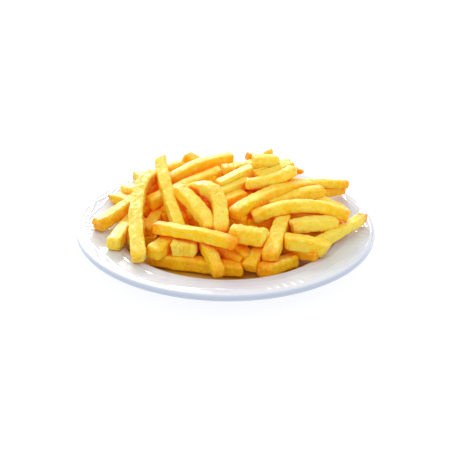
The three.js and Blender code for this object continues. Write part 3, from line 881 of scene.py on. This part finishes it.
def openness(points, normals, tree, reach):
    """The share of each point's outward directions that is free of the heap within reach."""
    golden_angle = math.pi * (3 - math.sqrt(5))
    directions = []
    for i in range(OPENNESS_RAYS):
        z = 1 - 2 * (i + 0.5) / OPENNESS_RAYS
        ring = math.sqrt(1 - z * z)
        directions.append(Vector((ring * math.cos(golden_angle * i), ring * math.sin(golden_angle * i), z)))
    weights = normals @ np.array(directions).T
    result = np.zeros(len(points))
    for index in range(len(points)):
        origin = Vector(points[index] + normals[index] * OPENNESS_START)
        row = weights[index]
        total = 0.0
        free = 0.0
        for k in np.nonzero(row > LEAST_FACING)[0]:
            total += row[k]
            if tree.ray_cast(origin, directions[k], reach)[0] is None:
                free += row[k]
        result[index] = free / total
    return result


# ---- Materials ----

class Nodes:
    """A short way to add linked nodes to a node tree."""

    def __init__(self, tree):
        self.tree = tree

    def add(self, kind):
        return self.tree.nodes.new(kind)

    def put(self, socket, value):
        if isinstance(value, bpy.types.NodeSocket):
            self.tree.links.new(value, socket)
        else:
            socket.default_value = value

    def attribute(self, name):
        node = self.add("ShaderNodeAttribute")
        node.attribute_name = name
        return node.outputs["Fac"]

    def noise(self, size, detail=2.0, rough=0.5):
        """Noise from 0 to 1 with bumps of about the given size in millimetres."""
        node = self.add("ShaderNodeTexNoise")
        self.put(node.inputs["Vector"], self.add("ShaderNodeTexCoord").outputs["Object"])
        node.inputs["Scale"].default_value = 1 / (size * MM)
        node.inputs["Detail"].default_value = detail
        node.inputs["Roughness"].default_value = rough
        return node.outputs["Fac"]

    def math(self, operation, a, b=0.0, c=0.0, clamp=False):
        node = self.add("ShaderNodeMath")
        node.operation = operation
        node.use_clamp = clamp
        for socket, value in zip(node.inputs, (a, b, c)):
            self.put(socket, value)
        return node.outputs[0]

    def ramp(self, value, low, high):
        """0 below low and 1 above high, with a smooth rise."""
        node = self.add("ShaderNodeMapRange")
        node.interpolation_type = "SMOOTHSTEP"
        self.put(node.inputs["Value"], value)
        node.inputs["From Min"].default_value = low
        node.inputs["From Max"].default_value = high
        return node.outputs["Result"]

    def mix(self, share, first, second):
        node = self.add("ShaderNodeMix")
        node.data_type = "RGBA"
        self.put(node.inputs["Factor"], share)
        self.put(node.inputs[6], first)
        self.put(node.inputs[7], second)
        return node.outputs[2]

    def bump(self, height, distance, strength=1.0):
        node = self.add("ShaderNodeBump")
        node.inputs["Distance"].default_value = distance * MM
        node.inputs["Strength"].default_value = strength
        self.put(node.inputs["Height"], height)
        return node.outputs["Normal"]


def new_material(name):
    """A material, its nodes and its shader's inputs."""
    material = bpy.data.materials.new(name)
    material.use_nodes = True
    return material, Nodes(material.node_tree), material.node_tree.nodes["Principled BSDF"].inputs


def potato_material(name, coat):
    """Fried potato, with a coat of the given weight for the oil on it."""
    material, nodes, shader = new_material(name)
    tone = nodes.attribute("tone")
    brown = nodes.attribute("brown")
    deep = nodes.attribute("deep")
    knobbly = nodes.attribute("knobbly")
    blister = nodes.attribute("blister")
    patch = nodes.noise(PATCH_SPACING, detail=3.0)
    blotch = nodes.noise(BLOTCH_SPACING, detail=4.0, rough=0.65)
    pits = nodes.noise(PIT_SPACING, detail=3.0, rough=0.6)
    specks = nodes.noise(SPECK_SPACING, detail=1.0)

    # From pale to golden in broad and fine patches, with paler blisters where the crust is knobbly.
    shade = nodes.math("MULTIPLY_ADD", nodes.math("SUBTRACT", patch, 0.5), PATCH_SHADE, tone)
    shade = nodes.math("MULTIPLY_ADD", nodes.math("SUBTRACT", blotch, 0.5), BLOTCH_SHADE, shade, clamp=True)
    colour = nodes.mix(nodes.ramp(shade, 0.0, YELLOW_AT), PALE, YELLOW)
    colour = nodes.mix(nodes.ramp(shade, YELLOW_AT, 1.0), colour, GOLDEN)
    fleck = nodes.math("MULTIPLY_ADD", knobbly, KNOBBLY_FLECKS, FLECKS)
    raised = nodes.math("MULTIPLY_ADD", blister, BLISTER_FLECKS, nodes.ramp(specks, *FLECK_SPECKS))
    colour = nodes.mix(nodes.math("MULTIPLY", fleck, raised, clamp=True), colour, FLECK)

    # A painted highlight: the crust is paler in specks on what faces up.
    highlighted = nodes.math("MULTIPLY", nodes.attribute("frost"), nodes.ramp(specks, *HIGHLIGHT_SPECKS))
    colour = nodes.mix(nodes.math("MULTIPLY", highlighted, PAINTED_HIGHLIGHT_SHARE), colour, PAINTED_HIGHLIGHT)

    # Browned ends and edges, painted shade in the hollows between fries, and a few dark spots.
    uneven = nodes.math("MULTIPLY_ADD", blotch, BROWN_BLOTCHES, BROWN_LEAST)
    colour = nodes.mix(nodes.math("MULTIPLY", brown, uneven, clamp=True), colour, BROWN)
    colour = nodes.mix(nodes.math("MULTIPLY", deep, HOLLOW_SHADE_SHARE, clamp=True), colour, HOLLOW_SHADE)
    spots = nodes.ramp(nodes.noise(SPOT_SPACING, detail=0.0), *SPOT_SPECKS)
    colour = nodes.mix(nodes.math("MULTIPLY", spots, SPOT_SHARE), colour, SPOT)
    nodes.put(shader["Base Color"], colour)

    nodes.put(shader["Roughness"], nodes.math("MULTIPLY_ADD", blotch, BLOTCH_ROUGHNESS, POTATO_ROUGHNESS))
    shader["IOR"].default_value = POTATO_IOR
    shader["Subsurface Weight"].default_value = POTATO_SUBSURFACE
    shader["Subsurface Radius"].default_value = SUBSURFACE_RADIUS
    shader["Subsurface Scale"].default_value = SUBSURFACE_DEPTH * MM
    shader["Coat Weight"].default_value = coat
    shader["Coat Roughness"].default_value = POTATO_COAT_ROUGHNESS
    shader["Coat IOR"].default_value = POTATO_COAT_IOR
    relief = nodes.math("MULTIPLY_ADD", pits, PIT_SHARE, nodes.math("MULTIPLY", specks, 1 - PIT_SHARE))
    nodes.put(shader["Normal"], nodes.bump(relief, PIT_DEPTH, PIT_STRENGTH))
    nodes.put(shader["Coat Normal"], nodes.bump(relief, COAT_PIT_DEPTH))
    return material


def glaze_material():
    """White glaze, with painted shade on the lip's outer wall, and golden where oil lies on it, which also
    stands as painted shade and painted reflection of the fries beside it.
    """
    material, nodes, shader = new_material("white_glaze")
    # Painted shade on the lip's outer wall.
    glaze = nodes.mix(nodes.attribute("lip_shade"), GLAZE, PAINTED_LIP_SHADE)
    # Oil, which also serves as painted shade and painted reflection of the fries.
    nodes.put(shader["Base Color"], nodes.mix(nodes.attribute("oil"), glaze, OIL_AND_SHADE))
    uneven = nodes.noise(GLAZE_UNEVEN_SPACING)
    nodes.put(shader["Roughness"], nodes.math("MULTIPLY_ADD", uneven, GLAZE_UNEVEN, GLAZE_ROUGHNESS))
    shader["IOR"].default_value = GLAZE_IOR
    ripples = nodes.noise(RIPPLE_SPACING, detail=1.0)
    nodes.put(shader["Normal"], nodes.bump(ripples, RIPPLE_DEPTH, RIPPLE_STRENGTH))
    return material


def floor_material():
    """A matt pale floor that glows a little, so that it stays white round the plate."""
    material, nodes, shader = new_material("pale_floor")
    shader["Base Color"].default_value = FLOOR_COLOUR
    shader["Roughness"].default_value = FLOOR_ROUGHNESS
    shader["Specular IOR Level"].default_value = FLOOR_SPECULAR
    shader["Emission Color"].default_value = (1, 1, 1, 1)
    shader["Emission Strength"].default_value = FLOOR_GLOW
    return material


# ---- The object ----

def mark_hollow_shade(groups, tree):
    """Gives each fry's points the attribute deep, which rises where the heap closes them in; it sets how much
    painted shade each point takes.
    """
    for pieces in groups:
        points = np.concatenate(pieces.points)
        free = openness(points, np.concatenate(pieces.normals), tree, OPENNESS_REACH)
        pieces.values["deep"] = [np.clip(1 - free / OPEN_ENOUGH, 0, 1)]


def oil_and_shade_film(points, tree):
    """How oily each point of the plate is: most beside the fries, and in the well. The oil also stands as
    painted shade and painted reflection of the fries beside it.
    """
    oil = np.zeros(len(points))
    radii = np.hypot(points[:, 0], points[:, 1])
    for index in np.nonzero((points[:, 2] > WELL_FLOOR - 0.5) & (radii < PLATE_RADIUS - LIP_WIDTH))[0]:
        gap = tree.find_nearest(Vector(points[index]), OIL_REACH)[3]
        if gap is not None:
            oil[index] = 1 - gap / OIL_REACH
    in_well = np.clip((OIL_EDGE - radii) / OIL_FADE, 0, 1)
    return np.clip(OIL_ON_RIM * oil * (1 - in_well) + OIL_IN_WELL * oil * in_well, 0, 1)


potato = potato_material("fried_potato", POTATO_COAT)
inner_potato = potato_material("covered_potato", 0.0)
shown = shown_fries()
under = under_fries()
groups = list(shown.values()) + [under]
heap_points = []
heap_faces = []
for pieces in groups:
    first = len(heap_points)
    heap_points += np.concatenate(pieces.points).tolist()
    heap_faces += [[i + first for i in face] for face in pieces.faces]
heap_tree = BVHTree.FromPolygons(heap_points, heap_faces)
# Painted shade for the hollows between fries.
mark_hollow_shade(groups, heap_tree)

plate = Pieces()
plate_points, plate_faces = plate_shape()
plate_reach = np.hypot(plate_points[:, 0], plate_points[:, 1])
# Painted shade on the lip's outer wall.
lip_shade = np.clip((plate_reach - PLATE_RADIUS) / LIP_SHADE_WIDTH + 1, 0, 1)
oil = oil_and_shade_film(plate_points, heap_tree)
plate.add(plate_points, np.zeros_like(plate_points), plate_faces, oil=oil, lip_shade=lip_shade)
made = [(plate.make("plate_glazed", glaze_material()), "plate", "glaze")]
for kind, pieces in shown.items():
    made.append((pieces.make("fries_" + kind, potato), "fries", "potato"))
made.append((under.make("fries_inner", inner_potato), "fries", "potato"))
for piece, node, slot in made:
    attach(piece, "root")
    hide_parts(node)

# ---- Floor, light and camera ----

bpy.ops.mesh.primitive_plane_add(size=FLOOR_SIZE, location=(0, 0, 0))
floor = bpy.context.active_object
floor.name = "floor"
floor.data.materials.append(floor_material())


def studio_world():
    """Soft light all round: brightest low behind, and a little bluish low at the front."""
    world = bpy.data.worlds.new("studio")
    world.use_nodes = True
    nodes = Nodes(world.node_tree)
    direction = nodes.add("ShaderNodeSeparateXYZ")
    nodes.put(direction.inputs[0], nodes.add("ShaderNodeTexCoord").outputs["Generated"])
    height = direction.outputs["Z"]
    front = nodes.mix(nodes.ramp(height, *FRONT_FADE), FRONT_LOW, FRONT_HIGH)
    back = nodes.mix(nodes.ramp(height, *BACK_FADE), BACK_LOW, BACK_HIGH)
    behind = nodes.ramp(direction.outputs["Y"], *BEHIND_FADE)
    top = nodes.ramp(height, *TOP_FADE)
    background = world.node_tree.nodes["Background"].inputs
    nodes.put(background["Color"], nodes.mix(top, nodes.mix(behind, front, back), SKY_TOP))
    background["Strength"].default_value = WORLD_STRENGTH
    return world


bpy.context.scene.world = studio_world()

key = bpy.data.lights.new("key", "SUN")
key.energy = KEY_STRENGTH
key.angle = math.radians(KEY_ANGLE_DEG)
key.color = KEY_COLOUR
key_object = bpy.data.objects.new("key", key)
key_object.rotation_mode = "QUATERNION"
key_object.rotation_quaternion = Vector(KEY_DIRECTION).to_track_quat("Z", "Y")
bpy.context.scene.collection.objects.link(key_object)

elevation = math.radians(CAMERA_ELEVATION_DEG)
camera_data = bpy.data.cameras.new("camera")
camera_data.sensor_width = SENSOR_WIDTH
camera_data.lens = CAMERA_FOCAL_PX * SENSOR_WIDTH / IMAGE_SIZE
camera_data.shift_x = (IMAGE_SIZE / 2 - RIM_CENTRE_PX[0]) / IMAGE_SIZE
camera_data.shift_y = (RIM_CENTRE_PX[1] - IMAGE_SIZE / 2) / IMAGE_SIZE
camera_data.clip_start, camera_data.clip_end = CAMERA_CLIP_M
camera = bpy.data.objects.new("camera", camera_data)
camera_place = Vector((
    0.0,
    -CAMERA_DISTANCE * math.cos(elevation) * MM,
    (PLATE_HEIGHT + CAMERA_DISTANCE * math.sin(elevation)) * MM,
))
pitch = Matrix.Rotation(math.pi / 2 - elevation, 4, "X")
roll = Matrix.Rotation(math.radians(CAMERA_ROLL_DEG), 4, "Z")
camera.matrix_world = Matrix.Translation(camera_place) @ pitch @ roll
bpy.context.scene.collection.objects.link(camera)
bpy.context.scene.camera = camera

bpy.context.scene.view_settings.view_transform = "Standard"
bpy.context.scene.cycles.max_bounces = LIGHT_BOUNCES
bpy.context.scene.cycles.diffuse_bounces = LIGHT_BOUNCES
